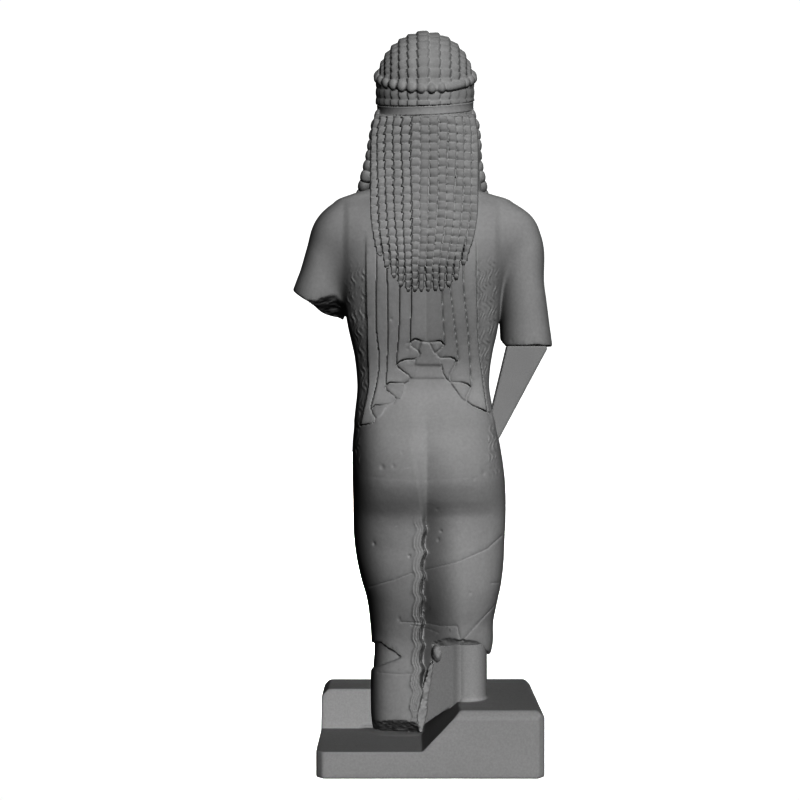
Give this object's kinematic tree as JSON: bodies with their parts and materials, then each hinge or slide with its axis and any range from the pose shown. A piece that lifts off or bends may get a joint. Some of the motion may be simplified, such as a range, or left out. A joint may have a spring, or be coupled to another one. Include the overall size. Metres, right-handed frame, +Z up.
{
  "type": "kore statuette",
  "caption": "Carved marble statuette of a standing draped woman with long beaded hair, broken arms and feet, set on a low stepped plinth.",
  "frame": {"origin": "centre of the plinth's underside", "axes": "+Z up along the figure, -Y the way she faces, +X to her left"},
  "size_m": [0.2058, 0.116, 0.5801],
  "materials": {
    "marble": "matte carved, worn and chipped",
    "plinth_stone": "matte, cast smooth",
    "strut_stone": "matte, cast smooth"
  },
  "bodies": {
    "root": {"figure": "marble", "plinth": "plinth_stone", "arm_strut": "strut_stone"}
  },
  "joints": []
}
